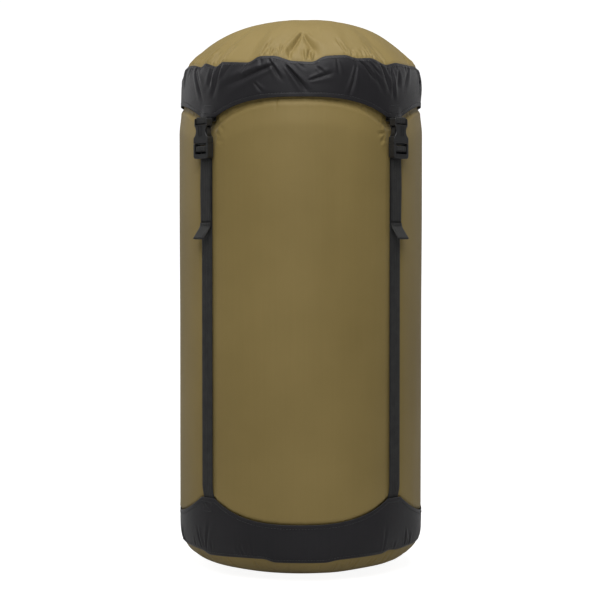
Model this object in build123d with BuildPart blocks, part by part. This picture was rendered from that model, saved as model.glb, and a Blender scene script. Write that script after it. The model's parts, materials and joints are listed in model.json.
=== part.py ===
"""Compression sack: a stuffed round fabric tube with a scalloped base band, a lift-off scalloped lid,
and four webbing straps that draw the lid down through side-release buckles with ladder locks.

Millimetres. +Z runs up the sack's axis and the origin is the centre of the base on the floor. The front is -Y.
Every buckle and strap is drawn once in front of the sack, facing -Y, and then turned to its four places.
"""

import os
from math import asin, radians, sin, sqrt

from build123d import *

# ---------------------------------------------------------------- driving dimensions

# the sack
sack_radius = 130.0  # outside of the stuffed tube
sack_height = 586.4  # floor to the crown of the lid
fabric = 1.0  # thickness that the cloth panels are drawn with
cloth_gap = 0.3  # between one layer and the next

# the base: a round panel, and a scalloped band round the foot of the tube
base_rise = 24.0  # seam between panel and band, above the floor
base_inset = 3.5  # how far that seam lies inside the tube's radius
base_slope_width = 29.5  # from the seam in to where the slope would meet the floor
base_fillet = 40.0
base_band_height = 60.0  # seam to the tips of the scallops
base_arch_depth = 22.0

# the lid: a crowned panel, and a scalloped band whose tips are drawn down by the straps
lid_rise = 49.4  # crown above the seam
lid_band_height = 57.8  # seam down to the tips
lid_arch_depth = 16.3
lid_inset = 0.9  # how far the band lies inside the tube's radius
lid_seam_inset = 2.6
lid_shoulder = 22.0  # height over which the band draws in to its seam

# the scallops
strap_angle = 47.8  # each strap's bearing from the front or the back, to either side
tip_half_width = 10.2  # flat end of each tip
arch_power = 2.6  # how square-shouldered each arch is
arch_points = 9
binding_height = 4.0
binding = 0.5

# the mouth of the sack, gathered shut under the lid
collar_height = 34.0  # the tube gives way to the collar this far below the lid's seam
collar_shoulder = 17.0
hem_radius = 20.0
hem_wall = 1.2
hem_width = 6.0
hem_height = 17.0
hem_above_seam = 21.0
eyelet_hole = 1.6
eyelet_barrel = 2.2
eyelet_flange = 3.6
eyelet_spread = 26.0  # angle between the two eyelets

# the webbing
webbing_width = 16.8
webbing = 1.2  # its thickness
webbing_play = 0.6  # side clearance in a slot
webbing_bend = 0.6  # inside radius where it turns over a bar
layer_gap = 0.2
strap_sewn_length = 19.0  # end of each strap under the base band
tail_length = 71.0  # from the lower slot of the ladder lock down to the pull tab
tab_drop = 17.5
tab_flare = 11.0
loop_sewn_length = 15.0  # ends of each lid loop under the lid band

# the side-release buckles
buckle_thickness = 7.6
buckle_drop = 2.7  # female half's top below the tip of the lid band
loop_bar = 3.0  # heights of the female half's webbing bar and slot
loop_slot = 3.6
bar_depth = 3.2
middle_bar = 2.6  # heights of the ladder lock's bars and of each slot beside its middle bar
end_bar = 4.6
ladder_slot = 3.5
wrap_play = 0.3  # between the webbing and the bar that it turns over
rail = 2.65  # ladder lock's side rails
female_rail = 1.45
female_wall = 1.0  # between the webbing slot and the socket
window = 11.0
side_wall = 7.0  # socket's side walls, between the mouth and the windows
plate = 1.6  # socket's front and back plates
shoulder = 1.2  # male half's cross piece, set back behind its rails
mating_gap = 0.3
socket_half_width = 8.0
notch_depth = 2.55
guide_half_width = 1.5
guide_length = 12.0
latch_overlap = 0.9
arm_root_radius = 1.0
arm_stem = 1.6
arm_gap = 0.2
grip_rib = 0.35

# ---------------------------------------------------------------- levels and radii that follow from those

base_seam_radius = sack_radius - base_inset
base_seam_z = base_rise
base_tip_z = base_seam_z + base_band_height
base_arch_z = base_tip_z - base_arch_depth
base_edge_radius = base_seam_radius - base_slope_width

lid_radius = sack_radius - lid_inset
lid_seam_radius = lid_radius - lid_seam_inset
lid_seam_z = sack_height - lid_rise
lid_tip_z = lid_seam_z - lid_band_height
lid_arch_z = lid_tip_z + lid_arch_depth
collar_z = lid_seam_z - collar_height
hem_z = lid_seam_z + hem_above_seam


def flat_inside(radius):
    """Distance from the axis of a strap's outer face that just fits inside a round wall of this radius."""
    return sqrt(radius**2 - (webbing_width / 2) ** 2)


# the lid loop's two legs lie between the tube's neck and the lid band
outer_leg_out = flat_inside(lid_radius - fabric) - layer_gap
outer_leg_in = outer_leg_out - webbing
inner_leg_out = outer_leg_in - layer_gap
neck_radius = inner_leg_out - webbing - cloth_gap

# the strap's sewn end lies between the tube's waist and the base band
strap_end_in = flat_inside(sack_radius - fabric) - layer_gap - webbing
waist_radius = strap_end_in - cloth_gap

# webbing and buckle, out from the sack
strap_in = sack_radius + cloth_gap + 0.1
strap_out = strap_in + webbing
tail_in = strap_out + 2 * layer_gap
tail_out = tail_in + webbing
buckle_back = tail_in + cloth_gap
buckle_front = buckle_back + buckle_thickness
socket_back = buckle_back + plate
socket_front = buckle_front - plate
wrap_out = buckle_front - cloth_gap
wrap_in = wrap_out - webbing
bar_back = tail_out + 4 * layer_gap
middle_bar_front = wrap_in - cloth_gap * 2
loop_bar_back = socket_back + 0.1
loop_bar_front = loop_bar_back + bar_depth

# webbing and buckle, from the lid's tips down
female_top_z = lid_tip_z - buckle_drop
loop_bar_bottom_z = female_top_z - loop_bar
loop_slot_bottom_z = loop_bar_bottom_z - loop_slot
window_top_z = loop_slot_bottom_z - female_wall
window_bottom_z = window_top_z - window
window_z = window_bottom_z + window / 2
female_bottom_z = window_bottom_z - side_wall
male_top_z = female_bottom_z - mating_gap
upper_slot_top_z = male_top_z - shoulder
middle_bar_top_z = upper_slot_top_z - ladder_slot
middle_bar_bottom_z = middle_bar_top_z - middle_bar
lower_slot_bottom_z = middle_bar_bottom_z - ladder_slot
male_bottom_z = lower_slot_bottom_z - end_bar
strap_top_z = middle_bar_top_z - webbing
tab_top_z = lower_slot_bottom_z - tail_length

slot_half_width = webbing_width / 2 + webbing_play
male_half_width = slot_half_width + rail
female_half_width = slot_half_width - 0.3 + female_rail
arm_back = socket_back + arm_gap
arm_front = socket_front - arm_gap
arm_root_x = socket_half_width - 2.6
arm_root_z = male_top_z + arm_root_radius + arm_gap
latch_x = socket_half_width + latch_overlap
latch_z = window_bottom_z + arm_gap

strap_places = {
    "front_left": -strap_angle,
    "front_right": strap_angle,
    "rear_right": 180 - strap_angle,
    "rear_left": strap_angle - 180,
}

# quadrants between the straps: the bearing of each one's middle, and the half angle to its straps
quadrants = (
    (0, strap_angle),
    (90, 90 - strap_angle),
    (180, strap_angle),
    (270, 90 - strap_angle),
)

# sketches on this plane have x as the distance out from the axis and y as the height
radial_plane = Plane(origin=(0, 0, 0), x_dir=(0, -1, 0), z_dir=(-1, 0, 0))


def write(piece, name):
    """Labels a finished piece and writes it as its own STEP file."""
    piece.part.label = name
    export_step(piece.part, f"parts/{name}.step")


def write_at_straps(piece, name):
    """Writes one copy of a piece at each of the four straps."""
    for place, bearing in strap_places.items():
        with BuildPart() as placed:
            with Locations(Rotation(0, 0, bearing)):
                add(piece.part)
        write(placed, f"{name}_{place}")


def scallop(reach, half_angle, tip_z, arch_z):
    """Points of one scallop's edge, seen square on, from the middle of one tip to the middle of the next."""
    half_arch = radians(half_angle) - tip_half_width / reach
    half_span = reach * sin(half_arch)
    arch = []
    for i in range(arch_points):
        x = half_span * (2 * i / (arch_points - 1) - 1)
        share = abs(asin(x / reach)) / half_arch
        arch.append((x, arch_z + (tip_z - arch_z) * share**arch_power))
    return arch


def facing(bearing):
    """Upright plane through the axis whose normal points out at this bearing from the front."""
    return Plane.XZ.rotated((0, 0, bearing))


def scalloped_wall(quadrant, reach, tip_z, arch_z, far_z):
    """Face between one quadrant's scalloped edge and the level far_z, on the tip side of it."""
    bearing, half_angle = quadrant
    arch = scallop(reach, half_angle, tip_z, arch_z)
    with BuildSketch(facing(bearing)) as wall:
        with BuildLine():
            Spline(*arch)
            Polyline(arch[-1], (arch[-1][0], far_z), (arch[0][0], far_z), arch[0])
        make_face()
    return wall.sketch


def beyond_tape(quadrant, reach, tip_z, arch_z, way):
    """Face past the tape on one quadrant's edge, from tip middle to tip middle: way is +1 above it, -1 below."""
    bearing, half_angle = quadrant
    end_x = (reach + 2) * sin(radians(half_angle))
    rise = way * binding_height
    far_z = arch_z + 2 * rise
    shifted = [(x, z + rise) for x, z in scallop(reach, half_angle, tip_z, arch_z)]
    with BuildSketch(facing(bearing)) as cut:
        with BuildLine():
            Spline(*shifted)
            Polyline(
                shifted[-1],
                (end_x, tip_z + rise),
                (end_x, far_z),
                (-end_x, far_z),
                (-end_x, tip_z + rise),
                shifted[0],
            )
        make_face()
    return cut.sketch


os.makedirs("parts", exist_ok=True)

# ---------------------------------------------------------------- base panel

with BuildPart() as base_panel:
    with BuildSketch(radial_plane):
        with BuildLine():
            outside = FilletPolyline(
                (base_seam_radius, base_seam_z),
                (base_edge_radius, 0),
                (0, 0),
                radius=base_fillet,
            )
            inside = FilletPolyline(
                (base_seam_radius - fabric, base_seam_z),
                (base_edge_radius - fabric / 3, fabric),
                (0, fabric),
                radius=base_fillet - fabric,
            )
            Line(outside @ 0, inside @ 0)
            Line(outside @ 1, inside @ 1)
        make_face()
    revolve(axis=Axis.Z)
write(base_panel, "base_panel")

# ---------------------------------------------------------------- sack tube

tube_foot_radius = base_seam_radius - fabric - cloth_gap
tube_outline = (
    (tube_foot_radius, base_seam_z),
    (waist_radius, base_seam_z + 12),
    (waist_radius, base_tip_z + 3),
    (sack_radius, base_tip_z + 20),
    (sack_radius, lid_tip_z - 24.5),
    (neck_radius, lid_tip_z - 6.5),
    (neck_radius, collar_z - cloth_gap),
)
with BuildPart() as sack_tube:
    with BuildSketch(radial_plane):
        with BuildLine():
            outline = FilletPolyline(*tube_outline, radius=22)
            offset(outline, amount=fabric, side=Side.LEFT)
        make_face()
    revolve(axis=Axis.Z)
write(sack_tube, "sack_tube")

# ---------------------------------------------------------------- base band and its binding

with BuildPart() as base_band:
    with BuildSketch(radial_plane):
        with BuildLine():
            outline = FilletPolyline(
                (base_seam_radius, base_seam_z),
                (sack_radius, base_seam_z + 13),
                (sack_radius, base_tip_z),
                radius=30,
            )
            offset(outline, amount=fabric, side=Side.LEFT)
        make_face()
    revolve(axis=Axis.Z)
    for quadrant in quadrants:
        above = scalloped_wall(
            quadrant, sack_radius, base_tip_z, base_arch_z, base_tip_z + 1
        )
        extrude(above, amount=sack_radius + 10, mode=Mode.SUBTRACT)
write(base_band, "base_band")

binding_in = layer_gap / 4
with BuildPart() as base_binding:
    with BuildSketch(Plane.XY.offset(base_arch_z - binding_height)):
        Circle(sack_radius + binding_in + binding)
        Circle(sack_radius + binding_in, mode=Mode.SUBTRACT)
    extrude(amount=base_arch_depth + binding_height)
    for quadrant in quadrants:
        above = scalloped_wall(
            quadrant, sack_radius, base_tip_z, base_arch_z, base_tip_z + 1
        )
        extrude(above, amount=sack_radius + 10, mode=Mode.SUBTRACT)
        below = beyond_tape(quadrant, sack_radius, base_tip_z, base_arch_z, -1)
        extrude(below, amount=sack_radius + 10, mode=Mode.SUBTRACT)
write(base_binding, "base_band_binding")

# ---------------------------------------------------------------- lid: crown, band and binding

crown = (
    (lid_seam_radius, lid_seam_z),
    (lid_seam_radius * 0.91, lid_seam_z + lid_rise * 0.26),
    (lid_seam_radius * 0.71, lid_seam_z + lid_rise * 0.60),
    (lid_seam_radius * 0.45, lid_seam_z + lid_rise * 0.85),
    (0, sack_height),
)
with BuildPart() as lid_top:
    with BuildSketch(radial_plane):
        with BuildLine():
            outside = Spline(*crown, tangents=((-0.55, 1), (-1, 0)))
            inside = Spline(
                (lid_seam_radius - fabric, lid_seam_z),
                *[
                    (r - fabric * 0.75, z - fabric * (0.6 + 0.1 * i))
                    for i, (r, z) in enumerate(crown[1:-1])
                ],
                (0, sack_height - fabric),
                tangents=((-0.55, 1), (-1, 0)),
            )
            Line(outside @ 0, inside @ 0)
            Line(outside @ 1, inside @ 1)
        make_face()
    revolve(axis=Axis.Z)
write(lid_top, "lid_top")

with BuildPart() as lid_band:
    with BuildSketch(radial_plane):
        with BuildLine():
            outline = FilletPolyline(
                (lid_radius, lid_tip_z),
                (lid_radius, lid_seam_z - lid_shoulder),
                (lid_seam_radius, lid_seam_z),
                radius=60,
            )
            offset(outline, amount=fabric, side=Side.LEFT)
        make_face()
    revolve(axis=Axis.Z)
    for quadrant in quadrants:
        below = scalloped_wall(
            quadrant, lid_radius, lid_tip_z, lid_arch_z, lid_tip_z - 1
        )
        extrude(below, amount=sack_radius + 10, mode=Mode.SUBTRACT)
write(lid_band, "lid_band")

with BuildPart() as lid_binding:
    with BuildSketch(Plane.XY.offset(lid_tip_z)):
        Circle(lid_radius + binding_in + binding)
        Circle(lid_radius + binding_in, mode=Mode.SUBTRACT)
    extrude(amount=lid_arch_depth + binding_height)
    for quadrant in quadrants:
        below = scalloped_wall(
            quadrant, lid_radius, lid_tip_z, lid_arch_z, lid_tip_z - 1
        )
        extrude(below, amount=sack_radius + 10, mode=Mode.SUBTRACT)
        above = beyond_tape(quadrant, lid_radius, lid_tip_z, lid_arch_z, 1)
        extrude(above, amount=sack_radius + 10, mode=Mode.SUBTRACT)
write(lid_binding, "lid_band_binding")

# ---------------------------------------------------------------- mouth: collar, hem and eyelets

with BuildPart() as mouth_collar:
    with BuildSketch(radial_plane):
        with BuildLine():
            outline = FilletPolyline(
                (neck_radius, collar_z),
                (neck_radius, collar_z + collar_height / 2),
                (neck_radius - collar_shoulder, lid_seam_z + 2),
                (hem_radius, hem_z),
                radius=12,
            )
            offset(outline, amount=fabric, side=Side.LEFT)
        make_face()
    revolve(axis=Axis.Z)
write(mouth_collar, "mouth_collar")

hem_middle_z = hem_z + cloth_gap + hem_height / 2
eyelet_planes = [
    Plane.XZ.rotated((0, 0, side * eyelet_spread / 2)) for side in (-1, 1)
]
with BuildPart() as mouth_hem:
    with BuildSketch(radial_plane):
        with Locations((hem_radius - hem_width / 2, hem_middle_z)):
            RectangleRounded(hem_width, hem_height, 2.4)
            RectangleRounded(
                hem_width - 2 * hem_wall,
                hem_height - 2 * hem_wall,
                1.4,
                mode=Mode.SUBTRACT,
            )
    revolve(axis=Axis.Z)
    for plane in eyelet_planes:
        with BuildSketch(plane.offset(hem_radius - hem_width / 2)):
            with Locations((0, hem_middle_z)):
                Circle(eyelet_barrel + layer_gap / 2)
        extrude(amount=hem_width, mode=Mode.SUBTRACT)
write(mouth_hem, "mouth_hem")

eyelet_seat = hem_radius + cloth_gap + 0.1  # the flat flange clears the round hem
with BuildPart() as hem_eyelets:
    for plane in eyelet_planes:
        with BuildSketch(plane.offset(hem_radius - hem_wall)):
            with Locations((0, hem_middle_z)):
                Circle(eyelet_barrel)
        extrude(amount=eyelet_seat - hem_radius + hem_wall)
        with BuildSketch(plane.offset(eyelet_seat)):
            with Locations((0, hem_middle_z)):
                Circle(eyelet_flange)
        extrude(amount=fabric / 2)
        with BuildSketch(plane.offset(hem_radius - hem_width / 2)):
            with Locations((0, hem_middle_z)):
                Circle(eyelet_hole)
        extrude(amount=2 * hem_width, mode=Mode.SUBTRACT)
write(hem_eyelets, "hem_eyelets")

# ---------------------------------------------------------------- straps, tails, pull tabs and lid loops

with BuildPart() as strap:
    with BuildSketch(radial_plane):
        with BuildLine():
            inner_face = FilletPolyline(
                (strap_end_in, base_tip_z - strap_sewn_length),
                (strap_end_in, base_tip_z + 1),
                (strap_in, base_tip_z + 17),
                (strap_in, strap_top_z - 0.1),
                radius=20,
            )
            offset(inner_face, amount=webbing, side=Side.RIGHT)
        make_face()
    extrude(amount=webbing_width / 2, both=True)
write_at_straps(strap, "strap")

tail_middle = tail_in + webbing / 2
wrap_middle = wrap_in + webbing / 2
wrap_top_z = middle_bar_top_z + wrap_play + webbing / 2
wrap_bottom_z = middle_bar_bottom_z - wrap_play - webbing / 2
with BuildPart() as tail:
    with BuildSketch(radial_plane):
        with BuildLine():
            FilletPolyline(
                (strap_in + webbing / 2, strap_top_z),
                (strap_in + webbing / 2, wrap_top_z),
                (wrap_middle, wrap_top_z),
                (wrap_middle, wrap_bottom_z),
                (tail_middle, wrap_bottom_z),
                (tail_middle, tab_top_z + layer_gap / 2),
                radius=webbing_bend + webbing / 2,
            )
        trace(line_width=webbing)
    extrude(amount=webbing_width / 2, both=True)
write_at_straps(tail, "strap_tail")

with BuildPart() as tab:
    with BuildSketch(radial_plane):
        with BuildLine():
            sack_side = FilletPolyline(
                (tail_in, tab_top_z),
                (tail_in, tab_top_z - tab_drop / 4),
                (tail_in + tab_flare, tab_top_z - tab_drop),
                radius=8,
            )
            offset(sack_side, amount=2 * webbing, side=Side.LEFT)
        make_face()
    extrude(amount=webbing_width / 2, both=True)
write_at_straps(tab, "strap_tab")

loop_top_z = lid_tip_z + loop_sewn_length
loop_back = loop_bar_back - 2 * cloth_gap - webbing / 2
loop_front = loop_bar_front + 2 * cloth_gap + webbing / 2
loop_low_z = loop_bar_bottom_z - 2 * cloth_gap - webbing / 2
with BuildPart() as lid_loop:
    with BuildSketch(radial_plane):
        with BuildLine():
            FilletPolyline(
                (inner_leg_out - webbing / 2, loop_top_z),
                (inner_leg_out - webbing / 2, lid_tip_z - 4),
                (loop_back, loop_bar_bottom_z + 0.4),
                (loop_back, loop_low_z),
                (loop_front, loop_low_z),
                (loop_front, female_top_z + 1),
                (outer_leg_in + webbing / 2, lid_tip_z - 1.6),
                (outer_leg_in + webbing / 2, loop_top_z),
                radius=webbing / 2 + 0.05,
            )
        trace(line_width=webbing)
    extrude(amount=webbing_width / 2, both=True)
write_at_straps(lid_loop, "lid_loop")

# ---------------------------------------------------------------- buckles

notch_radius = ((window / 2) ** 2 + notch_depth**2) / (2 * notch_depth)
notch_x = female_half_width - notch_depth + notch_radius
with BuildPart() as female:
    with BuildSketch(Plane.XZ.offset(buckle_back)):
        with BuildLine() as half:
            mouth = Polyline(
                (0, female_bottom_z),
                (male_half_width, female_bottom_z),
                (male_half_width, female_bottom_z + side_wall / 2),
            )
            waist = Spline(
                mouth @ 1,
                (female_half_width, window_z),
                tangents=((0, 1), (0, 1)),
            )
            Polyline(waist @ 1, (female_half_width, female_top_z), (0, female_top_z))
            mirror(about=Plane.YZ)
        make_face()
        with Locations((notch_x, window_z), (-notch_x, window_z)):
            Circle(notch_radius, mode=Mode.SUBTRACT)
    extrude(amount=buckle_thickness)
    top_corners = (
        female.edges()
        .filter_by(Axis.Y)
        .filter_by_position(Axis.Z, female_top_z - 0.1, female_top_z + 0.1)
    )
    fillet(top_corners, 1.6)
    front_rim = female.faces().sort_by(Axis.Y)[0].edges()
    fillet(front_rim, 0.6)
    with BuildSketch(Plane.XZ.offset(socket_back)):
        with Locations((0, (female_bottom_z + window_top_z) / 2)):
            Rectangle(2 * socket_half_width, window_top_z - female_bottom_z)
        with Locations((0, window_z)):
            Rectangle(4 * male_half_width, window)
    extrude(amount=socket_front - socket_back, mode=Mode.SUBTRACT)
    with BuildSketch(Plane.XZ.offset(buckle_back)):
        with Locations((0, loop_bar_bottom_z - loop_slot / 2)):
            Rectangle(2 * slot_half_width - webbing_play, loop_slot)
    extrude(amount=buckle_thickness, mode=Mode.SUBTRACT)
    # the webbing bar is slimmer than the body, to leave room for the loop round it
    for low, high in (
        (buckle_back, loop_bar_back),
        (loop_bar_front, buckle_front),
    ):
        with BuildSketch(Plane.XZ.offset(low)):
            with Locations((0, loop_bar_bottom_z + loop_bar)):
                Rectangle(2 * slot_half_width - webbing_play, 2 * loop_bar)
        extrude(amount=high - low, mode=Mode.SUBTRACT)
    with BuildSketch(Plane.XZ.offset(buckle_front - grip_rib)):
        with Locations((0, window_z)):
            with GridLocations(2.6, 0, 3, 1):
                SlotOverall(window, 1.0, rotation=90)
    extrude(amount=grip_rib, mode=Mode.SUBTRACT)
write_at_straps(female, "buckle_female")

with BuildPart() as male:
    with BuildSketch(Plane.XZ.offset(buckle_back)):
        with Locations((0, (male_bottom_z + male_top_z) / 2)):
            Rectangle(2 * male_half_width, male_top_z - male_bottom_z)
        with Locations((0, (lower_slot_bottom_z + upper_slot_top_z) / 2)):
            Rectangle(
                2 * slot_half_width,
                upper_slot_top_z - lower_slot_bottom_z,
                mode=Mode.SUBTRACT,
            )
    extrude(amount=buckle_thickness)
    bottom_corners = (
        male.edges()
        .filter_by(Axis.Y)
        .filter_by_position(Axis.Z, male_bottom_z - 0.1, male_bottom_z + 0.1)
    )
    fillet(bottom_corners, 3.0)
    outer_rim = male.faces().sort_by(Axis.Y)[0].outer_wire().edges()
    fillet(outer_rim, 0.6)
    # the tail leaves behind the end bar
    with BuildSketch(Plane.XZ.offset(buckle_back)):
        with Locations((0, male_bottom_z + end_bar / 2)):
            Rectangle(2 * slot_half_width, end_bar + 1)
    extrude(amount=bar_back - buckle_back, mode=Mode.SUBTRACT)
    # the cross piece is set back, so that the webbing over the middle bar shows up to the female half
    with BuildSketch(Plane.XZ.offset(socket_front)):
        with Locations((0, male_top_z - shoulder / 2)):
            Rectangle(2 * slot_half_width, 2 * shoulder)
    extrude(amount=plate, mode=Mode.SUBTRACT)
    with BuildSketch(Plane.XZ.offset(bar_back)):
        with Locations((0, middle_bar_bottom_z + middle_bar / 2)):
            Rectangle(2 * slot_half_width + rail / 2, middle_bar)
    extrude(amount=middle_bar_front - bar_back)
    with BuildSketch(Plane.XZ.offset(arm_back)):
        with Locations((0, male_top_z + guide_length / 2)):
            Rectangle(2 * guide_half_width, guide_length)
    extrude(amount=arm_front - arm_back)
    guide_tip = (
        male.edges()
        .filter_by(Axis.Y)
        .filter_by_position(
            Axis.Z, male_top_z + guide_length - 0.1, male_top_z + guide_length + 0.1
        )
    )
    fillet(guide_tip, guide_half_width * 0.8)
write_at_straps(male, "buckle_male")


def latch_arm(side):
    """One sprung arm of the male half: side is +1 for the right arm, seen from outside, and -1 for the left."""
    outline = (
        (arm_root_x - arm_stem / 2, arm_root_z),
        (arm_root_x + arm_stem / 2, arm_root_z),
        (socket_half_width - 1.0, latch_z),
        (latch_x, latch_z),
        (latch_x + 0.5, latch_z + 3.2),
        (latch_x + 0.1, latch_z + 5.6),
        (latch_x - 1.6, window_top_z - 3 * arm_gap),
        (latch_x - 3.0, window_top_z - 3 * arm_gap),
        (latch_x - 2.6, latch_z + 5.2),
        (latch_x - 3.3, latch_z + 0.5),
    )
    with BuildPart() as arm:
        with BuildSketch(Plane.XZ.offset(arm_back)):
            with BuildLine():
                Polyline(*[(side * x, z) for x, z in outline], close=True)
            make_face()
            with Locations((side * arm_root_x, arm_root_z)):
                Circle(arm_root_radius)
        extrude(amount=arm_front - arm_back)
    return arm


write_at_straps(latch_arm(-1), "buckle_arm_left")
write_at_straps(latch_arm(1), "buckle_arm_right")
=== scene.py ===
"""Looks of the compression sack: its cloth, webbing, stitches and materials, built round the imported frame.

Metres, in the frame's own axes: +Z up the sack's axis, the front faces -Y. A bearing is an angle about the
axis, 0 at the front and positive towards +X. Each cloth surface is a function of bearing and of a share from
one of its edges to the other, so that seams, hems and stitches can all be placed on it.
"""

import json

import bmesh
import bpy
import numpy as np
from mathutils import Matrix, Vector


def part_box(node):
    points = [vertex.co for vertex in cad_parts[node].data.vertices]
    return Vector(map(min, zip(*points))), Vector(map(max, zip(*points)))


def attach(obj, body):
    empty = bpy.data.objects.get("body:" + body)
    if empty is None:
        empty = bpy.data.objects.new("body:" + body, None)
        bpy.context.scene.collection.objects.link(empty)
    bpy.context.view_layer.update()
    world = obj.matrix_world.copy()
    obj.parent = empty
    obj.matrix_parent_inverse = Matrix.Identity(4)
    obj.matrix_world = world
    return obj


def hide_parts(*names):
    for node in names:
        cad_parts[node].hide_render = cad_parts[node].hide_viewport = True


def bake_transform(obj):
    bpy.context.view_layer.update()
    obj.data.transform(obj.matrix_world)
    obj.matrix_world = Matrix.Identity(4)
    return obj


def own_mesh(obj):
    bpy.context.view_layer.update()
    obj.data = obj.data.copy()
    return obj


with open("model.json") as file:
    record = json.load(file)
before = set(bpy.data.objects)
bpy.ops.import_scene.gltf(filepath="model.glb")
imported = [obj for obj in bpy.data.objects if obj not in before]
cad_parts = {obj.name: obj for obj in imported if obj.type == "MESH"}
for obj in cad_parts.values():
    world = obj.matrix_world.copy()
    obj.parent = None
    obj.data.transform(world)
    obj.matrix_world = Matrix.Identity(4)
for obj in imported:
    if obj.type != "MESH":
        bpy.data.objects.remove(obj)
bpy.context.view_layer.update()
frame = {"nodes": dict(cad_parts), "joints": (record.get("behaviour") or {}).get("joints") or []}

MM = 0.001
TAU = 2 * np.pi

# ---------------------------------------------------------------- sizes, from the frame


def bearing_of(node):
    """Bearing of a node's middle, in radians."""
    low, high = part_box(node)
    return float(np.arctan2(low.x + high.x, -low.y - high.y))


PLACES = ("front_left", "front_right", "rear_right", "rear_left")
STRAPS = {place: bearing_of(f"buckle_female_{place}") for place in PLACES}
STRAP_BEARING = STRAPS["front_right"]

tube_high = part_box("sack_tube")[1]
band_low, band_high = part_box("lid_band")
base_low, base_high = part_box("base_band")
crown_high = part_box("lid_top")[1]
collar_low, collar_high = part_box("mouth_collar")
hem_low, hem_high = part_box("mouth_hem")

LID_OVERHANG = 1.8 * MM  # the lid's cloth reaches past its tips in the frame, over the buckle's bar
LID_ARCH_DEPTH = 16.3 * MM  # from the tips in the frame up to the middle of the arch
BASE_ARCH_DEPTH = 22 * MM
TIP_HALF_WIDTH = 10.2 * MM  # level part of each scallop's tip
ARCH_POWER = 2.8  # a higher power makes a flatter arch

RADIUS = tube_high.x
SACK_TOP = crown_high.z
LID_TIP = band_low.z - LID_OVERHANG
LID_SEAM = band_high.z
LID_ARCH = band_low.z + LID_ARCH_DEPTH
BASE_SEAM = base_low.z
BASE_TIP = base_high.z
BASE_ARCH = BASE_TIP - BASE_ARCH_DEPTH
COLLAR_Z = collar_low.z
COMPRESSION = next(j for j in frame["joints"] if j["name"] == "compress")["range_m"][1]

HEM = 3.6 * MM  # width of the turned hem along each scallop
HEM_STITCH = 1.15 * HEM  # from the scalloped edge to its stitches
SEAM_STITCH = 3.0 * MM  # from a seam to the stitches beside it
BAND_CLOTH = 0.7 * MM  # thickness of each band's cloth
TUBE_UNDERLAP = 9 * MM  # how far above the base's seam the tube's cloth starts, hidden by the base's band
LEAN = 1.0 * MM  # the stuffing pushes the top of the lid a little to the right
CROWN_POWER = 2.85  # a higher power makes a flatter crown with rounder shoulders
SEAM_FADE = 3.5 * MM  # how far from a seam folds grow to their full depth
STITCH_PITCH = 3.1 * MM
WEBBING = 1.2 * MM
WEBBING_WIDTH = 16.8 * MM
PLY_GAP = 0.3 * MM  # between two layers of webbing

# ---------------------------------------------------------------- shape helpers


def wrap(angle):
    """Angle brought to between -pi and pi."""
    return (angle + np.pi) % TAU - np.pi


def smooth(value, low, high):
    """0 below low, 1 above high, and a smooth step between."""
    t = np.clip((value - low) / (high - low), 0, 1)
    return t * t * (3 - 2 * t)


def polar(bearing, radius, z):
    """Points at a bearing, a radius and a height."""
    return np.stack([radius * np.sin(bearing), -radius * np.cos(bearing), z + 0 * bearing], axis=-1)


def groove(distance, width):
    """1 on a line, falling away on both sides of it."""
    return np.exp(-((distance / width) ** 2))


def scallop(bearing, tip, arch):
    """Height of a scalloped edge: tip at each strap, arch midway between two straps."""
    away = np.abs(wrap(bearing))
    side = np.abs(away - np.pi / 2)
    front = np.minimum(away, np.pi - away)
    on_front = front < STRAP_BEARING
    offset = np.where(on_front, front, side)
    half = np.where(on_front, STRAP_BEARING, np.pi / 2 - STRAP_BEARING) - TIP_HALF_WIDTH / RADIUS
    return arch + (tip - arch) * np.clip(offset / half, 0, 1) ** ARCH_POWER


def ripples(bearing, height, count, turns, rise, seed):
    """Soft unevenness from a sum of waves round and up the sack, roughly -1 to 1."""
    waves = np.random.default_rng(seed)
    total = 0 * bearing + 0 * height
    for _ in range(count):
        n = waves.integers(turns[0], turns[1] + 1)
        m = waves.uniform(-rise, rise)
        total = total + np.cos(n * bearing + m * height + waves.uniform(0, TAU))
    return total / np.sqrt(count)


def crease(bearing, height, start, end, width, depth, side=1):
    """A pinched fold in cloth from start to end, each (degrees, height): a sharp valley with a rounded ridge
    beside it. It starts narrow and fades as it widens."""
    run = RADIUS * np.radians(end[0] - start[0])
    rise = end[1] - start[1]
    length = np.hypot(run, rise)
    across = RADIUS * wrap(bearing - np.radians(start[0]))
    up = height - start[1]
    along = (across * run + up * rise) / length**2
    off = (up * run - across * rise) / length
    here = smooth(along, -0.06, 0.16) * (1 - smooth(along, 0.5, 1.12))
    spread = off / (width * (0.55 + 0.75 * np.clip(along, 0, 1)))
    valley = np.exp(-2.0 * np.abs(spread) ** 1.35)
    ridge = np.exp(-1.3 * (spread - 1.35 * side) ** 2)
    far_ridge = np.exp(-1.1 * (spread + 1.6 * side) ** 2)
    return depth * here * (0.55 * ridge + 0.3 * far_ridge - valley)


def fold_sum(bearing, height, folds):
    """Displacement from a list of creases."""
    total = 0 * bearing + 0 * height
    for fold in folds:
        total = total + crease(bearing, height, *fold)
    return total


def knots(bearing, points):
    """Smoothed value at a bearing from listed (degrees, value) pairs, level outside them."""
    degrees, values = zip(*points)
    away = np.degrees(wrap(bearing))
    total = 0
    for shift in (-1.4, -0.7, 0, 0.7, 1.4):
        total = total + np.interp(away + shift, degrees, values) / 5
    return total


# ---------------------------------------------------------------- seams and edges

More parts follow.
